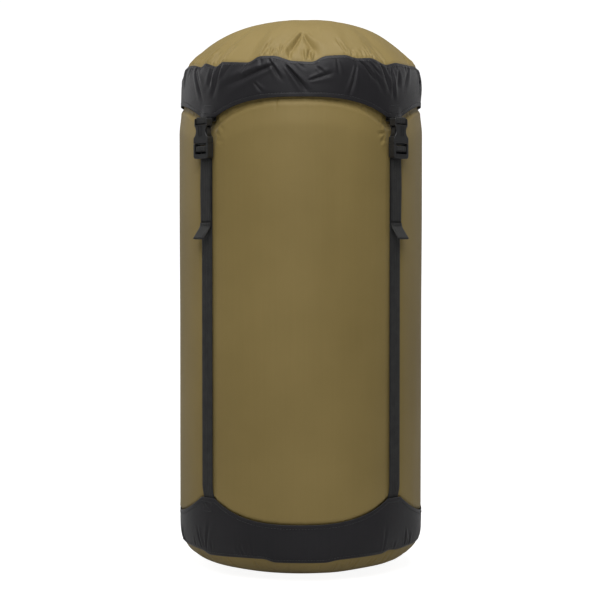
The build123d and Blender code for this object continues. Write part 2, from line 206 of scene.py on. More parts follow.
# how far each seam wanders up or down across the front: (bearing in degrees, millimetres)
lid_seam_front = [
    (-78, 0.0), (-66, -1.4), (-57, -5.5), (-54, -1.2), (-44.5, -7.5), (-42, -2.4), (-25.5, -5.4),
    (-20.5, 0.8), (-12, 0.4), (-5.2, -5.0), (5.2, -6.2), (10.5, 0.2), (21, 2.0), (26, -1.0), (35, 0.6),
    (43.5, -5.6), (51, -1.6), (66, -2.0), (78, 0.0),
]
base_seam_front = [
    (-80, 3.6), (-62, 3.4), (-54, 2.6), (-49.5, -0.5), (-30, 1.4), (-17, 1.8), (-13, -1.4), (12, -1.6),
    (17.5, 0.8), (30, 1.8), (42, 2.6), (46, 5.4), (52, 4.0), (62, 4.6), (80, 3.6),
]


def beyond_front(bearing):
    """0 across the front, 1 round the sides and the back."""
    return smooth(np.abs(wrap(bearing)), np.radians(72), np.radians(88))


def lid_seam(bearing):
    """Height of the wavy seam between the lid's band and its crown."""
    rear = beyond_front(bearing)
    waves = ripples(bearing, 0 * bearing, count=7, turns=(5, 26), rise=0, seed=3) * 2.2 - 2.0
    return LID_SEAM + MM * ((1 - rear) * knots(bearing, lid_seam_front) + rear * waves)


def base_seam(bearing):
    """Height of the wavy seam between the base band and the base panel."""
    rear = beyond_front(bearing)
    waves = 3 + ripples(bearing, 0 * bearing, count=7, turns=(4, 20), rise=0, seed=4) * 1.8
    return BASE_SEAM + MM * ((1 - rear) * knots(bearing, base_seam_front) + rear * waves)


def lid_edge(bearing):
    """Height of the lid band's scalloped lower edge."""
    return scallop(bearing, LID_TIP, LID_ARCH)


def base_edge(bearing):
    """Height of the base band's scalloped upper edge."""
    return scallop(bearing, BASE_TIP, BASE_ARCH)


# ---------------------------------------------------------------- folds

# Folds are written as (start, end, width, depth, side), in degrees and millimetres. Starts and ends are
# (bearing, height), or (bearing, length of cloth from the seam) on the crown and on the base panel.

SEAM = LID_SEAM / MM
band_folds_front = [
    ((-7.5, SEAM - 9), (3.4, SEAM - 38), 2.6, 2.8, 1),
    ((-15.5, SEAM - 2), (-9.0, SEAM - 25), 2.2, 2.1, 1),
    ((-13, SEAM - 9), (-38, SEAM - 29), 4.0, 2.4, -1),
    ((3.2, SEAM - 25), (14.5, SEAM - 17), 2.6, 1.4, 1),
    ((6.5, SEAM - 11), (12.0, SEAM - 21), 2.0, 1.3, -1),
    ((-4.0, SEAM - 3), (1.5, SEAM - 14), 1.8, 1.2, -1),
    ((25.6, SEAM - 8), (22.0, SEAM - 42), 2.3, 1.7, -1),
    ((27.8, SEAM - 3), (36.5, SEAM - 25), 2.6, 1.8, 1),
    ((33.0, SEAM - 4), (38.5, SEAM - 18), 1.8, 1.2, 1),
    ((-26, SEAM - 6), (-30, SEAM - 20), 2.2, 1.0, 1),
    ((-22, SEAM - 26), (-17, SEAM - 38), 1.8, 0.9, 1),
    ((16, SEAM - 3), (17, SEAM - 20), 2.0, 0.8, 1),
]


def scaled(folds):
    """Folds written in millimetres, in metres."""
    return [((a, b * MM), (c, d * MM), w * MM, h * MM, side) for (a, b), (c, d), w, h, side in folds]


def fan(seed):
    """Folds that radiate up a band from each strap's tip."""
    draw = np.random.default_rng(seed)
    folds = []
    for bearing in STRAPS.values():
        middle = np.degrees(bearing)
        for spread in (-12.5, -6.5, -1.5, 4.5, 11.0):
            lean = spread + draw.uniform(-2.5, 2.5)
            start = (middle + 0.55 * lean, LID_TIP / MM + draw.uniform(14, 30) + 0.5 * abs(lean))
            end = (middle + draw.uniform(0.9, 1.6) * lean, SEAM - draw.uniform(0, 10))
            folds.append((end, start, draw.uniform(2.4, 4.4), draw.uniform(0.8, 2.0), draw.choice((-1, 1))))
    return folds


def pleats(seed, count, low, high, reach, depth, sectors):
    """Short folds that leave a seam at random bearings within the sectors, in degrees."""
    draw = np.random.default_rng(seed)
    folds = []
    for _ in range(count):
        sector = sectors[draw.integers(len(sectors))]
        at = draw.uniform(*sector)
        length = draw.uniform(*reach)
        start = (at, low + draw.uniform(0, 1.5) * np.sign(high - low))
        end = (at + draw.uniform(-0.16, 0.16) * length, start[1] + length * np.sign(high - low))
        folds.append((start, end, draw.uniform(1.5, 3.2), draw.uniform(*depth), draw.choice((-1, 1))))
    return folds


whole = ((-180, 180),)
rear_and_sides = ((72, 180), (-180, -72))
band_folds = scaled(
    band_folds_front
    + fan(5)
    + pleats(6, 34, SEAM, 0, (16, 40), (0.9, 2.2), rear_and_sides)
    + pleats(7, 42, SEAM, 0, (6, 15), (0.4, 1.0), whole)
)

crown_folds_front = [
    ((-0.8, 39), (-7.4, 0), 4.2, 2.6, -1),
    ((-0.4, 37), (8.6, 3), 5.0, 2.4, 1),
    ((-19.4, 0), (-17.6, 24), 2.4, 1.6, 1),
    ((-14.5, 0), (-12.6, 14), 1.9, 1.0, -1),
    ((-11.0, 0), (-10.4, 10), 1.6, 0.8, 1),
    ((21.6, 2), (19.2, 24), 2.6, 1.6, -1),
    ((26.4, 0), (24.0, 14), 2.2, 1.2, 1),
    ((-43.4, 0), (-40.0, 22), 3.2, 1.8, 1),
    ((-55.0, 0), (-52.0, 18), 2.6, 1.4, -1),
    ((44.0, 0), (41.0, 20), 2.8, 1.6, 1),
    ((37.0, 0), (35.5, 13), 2.0, 0.9, -1),
]
crown_folds = scaled(
    crown_folds_front
    + pleats(8, 40, 0, 100, (12, 34), (0.8, 1.9), rear_and_sides)
    + pleats(9, 72, 0, 100, (6, 16), (0.5, 1.3), whole)
)
BAND_FOOT = BASE_SEAM / MM + 4
base_band_folds = scaled(
    pleats(12, 26, BAND_FOOT, 200, (10, 32), (0.4, 1.2), ((-80, -40), (40, 80), (100, 180), (-180, -100)))
    + pleats(13, 26, BAND_FOOT, 200, (6, 20), (0.2, 0.8), whole)
)
base_folds = scaled(pleats(14, 70, 0, 100, (6, 26), (0.3, 0.9), whole))

EDGE = LID_ARCH / MM
tube_folds_front = [
    ((-10.8, EDGE - 0.5), (-11.4, EDGE - 14), 1.5, 1.1, 1),
    ((6.0, EDGE - 0.5), (6.4, EDGE - 9), 1.3, 0.8, -1),
    ((20.5, EDGE - 1), (20.8, EDGE - 8), 1.2, 0.35, 1),
]


def buckle_wrinkles(seed):
    """Small folds in the tube beside each buckle and down the edges of each strap."""
    draw = np.random.default_rng(seed)
    folds = []
    for bearing in STRAPS.values():
        middle = np.degrees(bearing)
        for way in (-1, 1):
            for _ in range(6):
                z = draw.uniform(448, 476)
                start = (middle + way * 5.0, z)
                end = (middle + way * draw.uniform(8, 12.5), z - draw.uniform(-6, 14))
                width, depth = draw.uniform(1.2, 2.2), draw.uniform(0.4, 0.95)
                folds.append((start, end, width, depth, draw.choice((-1, 1))))
            for _ in range(11):
                z = draw.uniform(95, 440)
                start = (middle + way * 3.9, z)
                end = (middle + way * draw.uniform(6, 10), z + draw.uniform(-7, 7))
                width, depth = draw.uniform(1.6, 3.4), draw.uniform(0.08, 0.26)
                folds.append((start, end, width, depth, draw.choice((-1, 1))))
    return folds


tube_folds = scaled(tube_folds_front + buckle_wrinkles(15))

# ---------------------------------------------------------------- the cloth surfaces


def near_strap(bearing, half_width):
    """1 under a strap, falling to 0 beyond half_width from its middle."""
    gap = np.min([np.abs(wrap(bearing - b)) for b in STRAPS.values()], axis=0) * RADIUS
    return 1 - smooth(gap, 0.45 * half_width, half_width)


def tube_surface(bearing, share):
    """The olive tube, from inside the base band to inside the lid."""
    foot = BASE_SEAM + TUBE_UNDERLAP
    z = foot + (COLLAR_Z - foot) * share
    # the stuffing presses hardest near the top
    radius = RADIUS + MM * (0.5 + 0.8 * smooth(z, 0.25, 0.40))
    radius += MM * 0.4 * ripples(bearing, z, count=9, turns=(2, 7), rise=9, seed=21)
    radius += MM * 0.16 * ripples(bearing, z, count=12, turns=(9, 26), rise=22, seed=22)
    radius -= MM * 1.1 * near_strap(bearing, 15 * MM)
    # it tucks in under both scalloped edges, and low enough for the lid's to slip down it in a compression
    slip = COMPRESSION / (COLLAR_Z - BASE_SEAM) * (COLLAR_Z - lid_edge(bearing))
    under_lid = z - lid_edge(bearing) + slip
    radius -= MM * (2.3 * smooth(under_lid, -28 * MM, 0) + 3.2 * smooth(under_lid, -5 * MM, 1 * MM))
    under_base = 1 - smooth(z, base_edge(bearing) - 3 * MM, base_edge(bearing) + 3 * MM)
    radius -= MM * (3.2 * under_base + 2.5 * (1 - smooth(z, foot, foot + 9 * MM)))
    gather = ripples(bearing, 0 * bearing, count=16, turns=(40, 150), rise=0, seed=23)
    radius += MM * 0.28 * gather * smooth(z, lid_edge(bearing) - 11 * MM, lid_edge(bearing) - 1 * MM)
    radius += MM * 0.16 * gather * (1 - smooth(z, base_edge(bearing), base_edge(bearing) + 9 * MM))
    radius += fold_sum(bearing, z, tube_folds)
    return polar(bearing, radius, z)


def turned_hem(distance):
    """1 on the hem, which reaches a little over HEM from a scalloped edge, and 0 past it."""
    return 1 - smooth(distance, 0.86 * HEM, 1.12 * HEM)


def lid_band_surface(bearing, share):
    """The lid's black band: share 0 is its scalloped edge, 1 its seam with the crown."""
    edge = lid_edge(bearing)
    seam = lid_seam(bearing)
    z = edge + (seam - edge) * share
    level = (z - LID_TIP) / (LID_SEAM - LID_TIP)
    radius = RADIUS + MM * (-1.0 + 0.9 * np.sin(np.pi * np.clip(level, 0, 1)) - 4.0 * share**6)
    # folds and ripples fade out into both of its edges
    held = (0.25 + 0.75 * smooth(share, 0.0, 0.2)) * smooth(seam - z, 0, SEAM_FADE)
    loose = MM * 0.5 * ripples(bearing, z, count=10, turns=(3, 14), rise=60, seed=31)
    radius += held * (fold_sum(bearing, z, band_folds) + loose)
    # each tip is pushed out by the buckle's bar behind it
    radius += MM * 1.2 * near_strap(bearing, 15 * MM) * (1 - smooth(z, LID_TIP, LID_TIP + 15 * MM))
    # the turned hem is two layers thicker, and is drawn in a little by its stitches
    radius += MM * 0.25 * turned_hem(z - edge)
    radius -= MM * 0.15 * groove(z - edge - HEM_STITCH, 0.5 * MM)
    radius -= MM * 0.8 * groove(seam - z, 1.4 * MM)
    points = polar(bearing, radius, z)
    points[..., 0] += LEAN * smooth(share, 0.0, 0.5)
    return points


def crown_surface(bearing, share):
    """The lid's olive crown: share 0 is the seam, 1 the middle of the top."""
    seam = lid_seam(bearing)
    rim = RADIUS - 5.2 * MM
    ratio = 1 - share
    length = share * rim * 1.12
    radius = rim * ratio
    height = (SACK_TOP + 0.6 * MM - seam) * (1 - ratio**CROWN_POWER)
    bulge = MM * 0.9 * ripples(bearing, length, count=9, turns=(2, 8), rise=40, seed=41)
    bulge = bulge * smooth(share, 0.02, 0.25) * ratio**2
    folds = 1.25 * fold_sum(bearing, length, crown_folds)
    folds = folds * smooth(ratio, 0.3, 0.7) * smooth(length, 0, SEAM_FADE)
    pinch = -MM * 0.8 * groove(length, 1.5 * MM)
    lift = bulge + folds + pinch
    # folds move the cloth along the crown's normal
    slope = np.clip(2.9 * ratio**1.9 * (SACK_TOP - LID_SEAM) / rim, 0, 3)
    level = 1 / np.sqrt(1 + slope**2)
    points = polar(bearing, radius + lift * slope * level, seam + height + lift * level)
    points[..., 0] += LEAN * (1 + 3.2 * smooth(share, 0.0, 0.5))
    return points


def base_band_surface(bearing, share):
    """The base's black band: share 0 is its seam with the base panel, 1 its scalloped edge."""
    seam = base_seam(bearing)
    edge = base_edge(bearing)
    z = seam + (edge - seam) * share
    level = np.clip((z - BASE_SEAM) / (BASE_TIP - BASE_SEAM), 0, 1)
    radius = RADIUS + MM * (0.6 + 1.0 * np.sin(np.pi * level) - 4.1 * (1 - share) ** 5)
    held = smooth(z - seam, 0, SEAM_FADE)
    loose = MM * 0.45 * ripples(bearing, z, count=10, turns=(3, 12), rise=40, seed=51)
    radius += held * (fold_sum(bearing, z, base_band_folds) + loose)
    radius += MM * 0.2 * turned_hem(edge - z)
    radius -= MM * 0.12 * groove(edge - z - HEM_STITCH, 0.5 * MM)
    radius -= MM * 0.7 * groove(z - seam, 1.3 * MM)
    return polar(bearing, radius, z)


def base_surface(bearing, share):
    """The olive base panel: share 0 is its middle on the floor, 1 its seam."""
    seam = base_seam(bearing)
    rim = RADIUS - 3.9 * MM
    flat = 60 * MM  # radius of the part that rests on the floor
    radius = rim * share
    out = np.clip((radius - flat) / (rim - flat), 0, 1)
    length = (1 - share) * rim * 1.05
    held = smooth(out, 0.15, 0.6) * smooth(length, 0, SEAM_FADE)
    loose = MM * 0.5 * ripples(bearing, length, count=8, turns=(3, 9), rise=40, seed=61)
    lift = held * (fold_sum(bearing, length, base_folds) + loose)
    pinch = MM * 0.5 * groove(length, 1.5 * MM)
    # a shallow dish that turns up sharply into its seam
    dish = 15 * MM
    clear = 0.0001 * (1 + share)  # no part of it dips under the floor
    z = np.maximum(dish * out**1.25 + (seam - dish) * out**7 - 0.7 * lift, clear)
    return polar(bearing, radius + 0.7 * lift - pinch, z)


def collar_surface(bearing, share):
    """The black collar: share 0 is its seam with the tube, 1 its gathered neck below the hem."""
    neck = RADIUS - 5.6 * MM
    hem = hem_high.x - MM
    turn = smooth(share, 0.12, 0.42)
    radius = neck + (hem - neck) * smooth(share, 0.16, 1.0)
    z = COLLAR_Z + (collar_high.z - COLLAR_Z) * (1 - (1 - share) ** 1.5)
    gathers = np.cos(38 * bearing + 1.6 * np.sin(5 * bearing))
    gathers = gathers + 0.5 * np.cos(67 * bearing + 2 * np.sin(3 * bearing))
    z = z + MM * 1.2 * gathers * turn * (1 - 0.35 * share)
    radius = radius + MM * 0.25 * gathers * turn
    return polar(bearing, radius, z)


def hem_surface(bearing, share):
    """The drawcord channel round the mouth: a stuffed ring, gathered into flutes."""
    middle = hem_high.x - 3 * MM
    centre_z = (hem_low.z + hem_high.z) / 2
    flute = 1 + 0.07 * np.cos(24 * bearing + np.sin(4 * bearing))
    angle = TAU * share
    radius = middle + 2.9 * MM * np.sin(angle) * flute
    z = centre_z - (hem_high.z - hem_low.z) / 2 * np.cos(angle) * (1 - 0.02 * flute)
    return polar(bearing, radius, z)


# ---------------------------------------------------------------- mesh builders


def mesh_object(name, points, faces, coordinates=None):
    """A smooth-shaded mesh object. coordinates are the cloth's own, along and across its threads."""
    mesh = bpy.data.meshes.new(name)
    mesh.from_pydata(points.reshape(-1, 3).tolist(), [], faces)
    if coordinates is not None:
        threads = mesh.attributes.new("threads", "FLOAT_VECTOR", "POINT")
        threads.data.foreach_set("vector", np.ascontiguousarray(coordinates, np.float32).ravel())
    mesh.update()
    mesh.shade_smooth()
    piece = bpy.data.objects.new(name, mesh)
    bpy.context.scene.collection.objects.link(piece)
    return piece


def quads_between(lower, upper):
    """Faces that join each ring of points, given by their numbers, to the ring above it."""
    corners = [lower, np.roll(lower, -1, 1), np.roll(upper, -1, 1), upper]
    return np.stack(corners, axis=-1).reshape(-1, 4).tolist()


def cloth(name, surface, rows, columns, length, crowd=1.0, loop=False):
    """A sheet right round the sack, from a surface function. crowd above 1 packs the rows near share 0."""
    bearing = np.linspace(-np.pi, np.pi, columns, endpoint=False)
    share = np.linspace(0, 1, rows + (1 if loop else 0))[: rows if loop else None] ** crowd
    around, up = np.meshgrid(bearing, share)
    points = surface(around, up)
    coordinates = np.stack([around * RADIUS, up * length, 0 * up], axis=-1)
    index = np.arange(rows * columns).reshape(rows, columns)
    lower = index if loop else index[:-1]
    upper = np.roll(index, -1, axis=0) if loop else index[1:]
    return mesh_object(name, points, quads_between(lower, upper), coordinates)


def thicken(piece, thickness):
    """Gives a sheet its thickness, inwards."""
    modifier = piece.modifiers.new("thickness", "SOLIDIFY")
    modifier.thickness = thickness
    modifier.offset = -1


def rounded(corners, reach, steps=7):
    """A path through corners, given as (out, z), with each inner corner turned within reach of it."""
    corners = np.array(corners, float)
    path = [corners[0]]
    for before, corner, after in zip(corners[:-2], corners[1:-1], corners[2:]):
        into = before - corner
        out = after - corner
        a = corner + into / np.linalg.norm(into) * min(reach, 0.48 * np.linalg.norm(into))
        b = corner + out / np.linalg.norm(out) * min(reach, 0.48 * np.linalg.norm(out))
        for t in np.linspace(0, 1, steps):
            path.append((1 - t) ** 2 * a + 2 * t * (1 - t) * corner + t**2 * b)
    path.append(corners[-1])
    return np.array(path)


def divided(path, step):
    """The path with extra points, so that none are further apart than step."""
    dense = [path[0]]
    for a, b in zip(path[:-1], path[1:]):
        count = max(1, int(np.ceil(np.linalg.norm(b - a) / step)))
        dense += [a + (b - a) * k / count for k in range(1, count + 1)]
    return np.array(dense)


def ribbon(name, path, bearing, width=WEBBING_WIDTH, thickness=WEBBING, ribs=6):
    """Webbing along a path of (out, z) at a bearing: rounded edges and ribs along its length."""
    across = np.linspace(-1, 1, 49)
    edge = (1 - np.abs(across) ** 9) ** 0.5
    rib = 0.10 * np.cos(np.pi * ribs * across) * (np.abs(across) < 0.93)
    half = thickness / 2 * np.maximum(edge * (0.92 + rib), 0.04)
    lane = np.concatenate([across, across[::-1]]) * width / 2
    height = np.concatenate([half, -half[::-1]])
    along = np.gradient(path, axis=0)
    along /= np.linalg.norm(along, axis=1)[:, None]
    normal = np.stack([along[:, 1], -along[:, 0]], axis=1)
    out = path[:, 0][:, None] + normal[:, 0][:, None] * height
    z = path[:, 1][:, None] + normal[:, 1][:, None] * height
    lane = np.broadcast_to(lane, out.shape)
    x = out * np.sin(bearing) + lane * np.cos(bearing)
    y = -out * np.cos(bearing) + lane * np.sin(bearing)
    points = np.stack([x, y, z], axis=-1)
    run = np.concatenate([[0], np.cumsum(np.linalg.norm(np.diff(path, axis=0), axis=1))])
    coordinates = np.stack([np.broadcast_to(run[:, None], out.shape), lane, height + 0 * out], axis=-1)
    rings, ring = out.shape
    index = np.arange(rings * ring).reshape(rings, ring)
    ends = [index[0].tolist(), index[-1][::-1].tolist()]
    faces = quads_between(index[:-1], index[1:]) + ends
    piece = mesh_object(name, points, faces, coordinates)
    make_outward(piece)
    return piece


def make_outward(piece):
    """Turns a closed mesh's faces outwards."""
    work = bmesh.new()
    work.from_mesh(piece.data)
    bmesh.ops.recalc_face_normals(work, faces=work.faces)
    work.to_mesh(piece.data)
    work.free()


def thread(name, spans, radius=0.24 * MM):
    """Stitches as short plump threads, one for each (start, end, outward) span."""
    sides, bulge = 6, (0.35, 0.95, 1.0, 0.95, 0.35)
    rings = np.linspace(0, 1, len(bulge))
    points, faces = [], []
    for start, end, outward in spans:
        axis = end - start
        side = np.cross(axis, outward)
        side /= np.linalg.norm(side) + 1e-12
        first = sum(len(p) for p in points)
        for share, swell in zip(rings, bulge):
            centre = start + axis * share + outward * radius * 0.9 * np.sin(np.pi * share)
            turn = np.arange(sides) * TAU / sides
            circle = np.outer(np.cos(turn), side) + np.outer(np.sin(turn), outward)
            points.append(centre + circle * radius * swell)
        for ring in range(len(bulge) - 1):
            for k in range(sides):
                a = first + ring * sides + k
                b = first + ring * sides + (k + 1) % sides
                faces.append((a, b, b + sides, a + sides))
        last = first + (len(bulge) - 1) * sides
        faces.append(tuple(range(first, first + sides))[::-1])
        faces.append(tuple(range(last, last + sides)))
    piece = mesh_object(name, np.concatenate(points), faces)
    make_outward(piece)
    return piece


def seam_spans(surface, share_at, pitch=STITCH_PITCH, fill=0.72, proud=0.1 * MM):
    """Spans for stitches right round a surface, at the share that share_at gives for each bearing."""
    count = int(TAU * RADIUS / pitch)
    spans = []
    for k in range(count):
        middle = -np.pi + TAU * k / count
        ends = np.array([middle - 0.5 * fill * pitch / RADIUS, middle + 0.5 * fill * pitch / RADIUS])
        here = surface(ends, share_at(ends))
        outward = np.array([np.sin(middle), -np.cos(middle), 0])
        spans.append((here[0] + outward * proud, here[1] + outward * proud, outward))
    return spans


def line_spans(corners, pitch, bearing, out, fill=0.72):
    """Spans for stitches along straight lines drawn flat at a bearing: corners are (across, z)."""
    outward = np.array([np.sin(bearing), -np.cos(bearing), 0])
    side = np.array([np.cos(bearing), np.sin(bearing), 0])
    spans = []
    for a, b in zip(corners[:-1], corners[1:]):
        a, b = np.array(a, float), np.array(b, float)
        count = max(1, int(round(np.linalg.norm(b - a) / pitch)))
        for k in range(count):
            ends = [a + (b - a) * (k + 0.5 + s * fill / 2) / count for s in (-1, 1)]
            start, end = [side * e[0] + outward * out + np.array([0, 0, e[1]]) for e in ends]
            spans.append((start, end, outward))
    return spans


# ---------------------------------------------------------------- materials


class Shader:
    """A material under construction, with short ways to add and link its nodes."""

    def __init__(self, name):
        self.material = bpy.data.materials.new(name)
        self.material.use_nodes = True
        self.tree = self.material.node_tree
        self.surface = self.tree.nodes["Principled BSDF"]

    def node(self, kind, **settings):
        made = self.tree.nodes.new(kind)
        for key, value in settings.items():
            setattr(made, key, value)
        return made

    def link(self, source, target):
        self.tree.links.new(source, target)

    def math(self, operation, a, b=None):
        made = self.node("ShaderNodeMath", operation=operation)
        for socket, value in zip(made.inputs, (a, b)):
            if isinstance(value, (int, float)):
                socket.default_value = value
            elif value is not None:
                self.link(value, socket)
        return made.outputs[0]

    def noise(self, scale, detail=3.0, stretch=(1, 1, 1), source=None):
        coordinates = source or self.node("ShaderNodeTexCoord").outputs["Object"]
        mapping = self.node("ShaderNodeMapping")
        mapping.inputs["Scale"].default_value = stretch
        self.link(coordinates, mapping.inputs["Vector"])
        made = self.node("ShaderNodeTexNoise")
        made.inputs["Scale"].default_value = scale
        made.inputs["Detail"].default_value = detail
        self.link(mapping.outputs[0], made.inputs["Vector"])
        return made.outputs["Fac"]

    def ramp(self, factor, dark, light, low=0.3, high=0.7):
        made = self.node("ShaderNodeValToRGB")
        made.color_ramp.elements[0].position = low
        made.color_ramp.elements[0].color = (*dark, 1)
        made.color_ramp.elements[1].position = high
        made.color_ramp.elements[1].color = (*light, 1)
        self.link(factor, made.inputs["Fac"])
        return made.outputs["Color"]

    def between(self, factor, low, high):
        made = self.node("ShaderNodeMapRange")
        made.inputs["To Min"].default_value = low
        made.inputs["To Max"].default_value = high
        self.link(factor, made.inputs["Value"])
        return made.outputs[0]

    def bump(self, height, distance, strength, under=None):
        made = self.node("ShaderNodeBump")
        made.inputs["Distance"].default_value = distance
        made.inputs["Strength"].default_value = strength
        self.link(height, made.inputs["Height"])
        if under is not None:
            self.link(under, made.inputs["Normal"])
        return made.outputs["Normal"]

    def threads(self):
        """The cloth's own coordinates, as separate sockets."""
        attribute = self.node("ShaderNodeAttribute", attribute_name="threads")
        split = self.node("ShaderNodeSeparateXYZ")
        self.link(attribute.outputs["Vector"], split.inputs[0])
        return attribute.outputs["Vector"], split.outputs[0], split.outputs[1]

    def set(self, **values):
        """Sets uniform values straight on the surface shader's sockets."""
        for key, value in values.items():
            self.surface.inputs[key.replace("_", " ")].default_value = value


def nylon(name, dark, light, roughness, sheen, weave_pitch, streak, crumple):
    """Plain-woven coated nylon: threads, faint streaks along the warp, small crumples and a soft sheen."""
    shade = Shader(name)
    vector, across, up = shade.threads()
    warp = shade.math("SINE", shade.math("MULTIPLY", across, TAU / weave_pitch))
    weft = shade.math("SINE", shade.math("MULTIPLY", up, TAU / weave_pitch))
    weave = shade.math("MULTIPLY", warp, weft)
    patches = shade.noise(7.0, 4.0)
    streaks = shade.noise(60.0, 2.0, stretch=(6, 0.12, 1), source=vector)
    patches = shade.math("MULTIPLY", patches, 1 - streak)
    mottle = shade.math("ADD", patches, shade.math("MULTIPLY", streaks, streak))
    mottle = shade.math("ADD", mottle, shade.math("MULTIPLY", weave, 0.05))
    shade.link(shade.ramp(mottle, dark, light), shade.surface.inputs["Base Color"])
    rough = shade.between(shade.noise(30.0), roughness - 0.06, roughness + 0.06)
    shade.link(rough, shade.surface.inputs["Roughness"])
    normal = shade.bump(shade.noise(22.0, 3.0), 1.6 * MM, crumple)
    normal = shade.bump(shade.noise(90.0, 3.0), 0.5 * MM, crumple, normal)
    normal = shade.bump(weave, 0.05 * MM, 0.35, normal)
    shade.link(normal, shade.surface.inputs["Normal"])
    shade.set(Sheen_Weight=sheen, Sheen_Roughness=0.45, Specular_IOR_Level=0.22)
    return shade.material


def woven_tape(name, dark, light, pitch):
    """Ribbed webbing: a herringbone of threads across its ribs."""
    shade = Shader(name)
    along, across = shade.threads()[1:]
    slant = shade.math("ADD", along, shade.math("ABSOLUTE", across))
    twill = shade.math("SINE", shade.math("MULTIPLY", slant, TAU / pitch))
    picks = shade.math("SINE", shade.math("MULTIPLY", across, TAU / (0.6 * pitch)))
    weave = shade.math("MULTIPLY", twill, picks)
    mottle = shade.math("ADD", shade.noise(120.0), shade.math("MULTIPLY", weave, 0.12))
    shade.link(shade.ramp(mottle, dark, light), shade.surface.inputs["Base Color"])
    shade.link(shade.between(shade.noise(80.0), 0.55, 0.75), shade.surface.inputs["Roughness"])
    shade.link(shade.bump(weave, 0.10 * MM, 0.6), shade.surface.inputs["Normal"])
    shade.set(Sheen_Weight=0.05, Sheen_Roughness=0.5, Specular_IOR_Level=0.3)
    return shade.material


def moulded_plastic(name, dark, light):
    """Satin moulded acetal, with a fine grain and rubbed high spots."""
    shade = Shader(name)
    shade.link(shade.ramp(shade.noise(140.0, 4.0), dark, light), shade.surface.inputs["Base Color"])
    shade.link(shade.between(shade.noise(420.0, 2.0), 0.30, 0.44), shade.surface.inputs["Roughness"])
    shade.link(shade.bump(shade.noise(1600.0, 2.0), 0.03 * MM, 0.5), shade.surface.inputs["Normal"])
    shade.set(Specular_IOR_Level=0.5)
    return shade.material


def blackened_metal(name):
    """Black oxide on brass, worn to a warmer tone in patches."""
    shade = Shader(name)
    worn = shade.ramp(shade.noise(500.0, 4.0), (0.02, 0.02, 0.02), (0.09, 0.075, 0.05), 0.45, 0.8)
    shade.link(worn, shade.surface.inputs["Base Color"])
    shade.link(shade.between(shade.noise(300.0), 0.28, 0.5), shade.surface.inputs["Roughness"])
    shade.set(Metallic=1.0)
    return shade.material


def spun_thread(name, dark, light):
    """Twisted sewing thread."""
    shade = Shader(name)
    shade.link(shade.ramp(shade.noise(900.0, 2.0), dark, light), shade.surface.inputs["Base Color"])
    shade.link(shade.bump(shade.noise(2500.0, 1.0), 0.05 * MM, 0.6), shade.surface.inputs["Normal"])
    shade.set(Roughness=0.6, Sheen_Weight=0.2)
    return shade.material


def pale_paper(name):
    """The studio's seamless paper."""
    shade = Shader(name)
    grey = shade.ramp(shade.noise(2.0), (0.40, 0.40, 0.40), (0.44, 0.44, 0.44))
    shade.link(grey, shade.surface.inputs["Base Color"])
    # it glows white to the eye, and only faintly lights the sack
    seen = shade.node("ShaderNodeLightPath").outputs["Is Camera Ray"]
    shade.link(shade.between(seen, 0.08, 0.92), shade.surface.inputs["Emission Strength"])
    shade.set(Roughness=0.9, Emission_Color=(1, 1, 1, 1))
    return shade.material


olive = nylon(
    "olive_nylon", (0.214, 0.156, 0.052), (0.262, 0.193, 0.068),
    roughness=0.55, sheen=0.03, weave_pitch=0.55 * MM, streak=0.10, crumple=0.16,
)
black = nylon(
    "black_nylon", (0.0125, 0.0118, 0.0135), (0.0205, 0.0195, 0.0220),
    roughness=0.50, sheen=0.06, weave_pitch=0.50 * MM, streak=0.20, crumple=0.26,
)
webbing = woven_tape("black_webbing", (0.0120, 0.0118, 0.0115), (0.0215, 0.0210, 0.0200), 1.5 * MM)
plastic = moulded_plastic("black_acetal", (0.0130, 0.0132, 0.0135), (0.0205, 0.0205, 0.0210))
eyelet_metal = blackened_metal("blackened_brass")
black_thread = spun_thread("black_thread", (0.012, 0.012, 0.013), (0.030, 0.030, 0.032))
paper = pale_paper("pale_paper")


def finish_piece(piece, body, material, slot, *nodes):
    """Gives a piece its material, rides it on its body, and lets it stand for CAD nodes. Its slot is not
    used.
    """
    piece.data.materials.append(material)
    if body:
        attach(piece, body)
    if nodes:
        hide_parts(*nodes)


# ---------------------------------------------------------------- camera and studio


LENS = 100.4
CAMERA_AT = (-0.001, -1.82, 0.335)
CAMERA_TILT = 1.51  # degrees below level

LIGHTS = (  # name, location, height on the axis that it faces, size, power
    ("top", (0.0, -0.4, 2.2), 0.4, 1.6, 36),
    ("front", (0.0, -2.0, 1.9), 0.35, 1.2, 25.5),
    ("key", (-1.1, -1.9, 1.9), 0.42, 1.2, 9),
    ("rim_left", (-1.7, 1.1, 1.1), 0.3, 1.2, 8),
    ("rim_right", (1.7, 1.1, 1.1), 0.3, 1.2, 6),
)


def add_camera():
    """The camera: a long lens in front of the sack, a little above its middle."""
    data = bpy.data.cameras.new("camera")
    data.lens = LENS
    camera = bpy.data.objects.new("camera", data)
    camera.location = CAMERA_AT
    camera.rotation_euler = (np.radians(90 - CAMERA_TILT), 0, 0)
    bpy.context.scene.collection.objects.link(camera)
    bpy.context.scene.camera = camera


def add_light(name, location, height, size, power):
    """A soft square light that faces a height on the sack's axis."""
    data = bpy.data.lights.new(name, "AREA")
    data.size = size
    data.energy = power
    light = bpy.data.objects.new(name, data)
    light.location = location
    aim = np.array((0, 0, height), float) - np.array(location, float)
    light.rotation_euler = Vector(aim).to_track_quat("-Z", "Y").to_euler()
    bpy.context.scene.collection.objects.link(light)


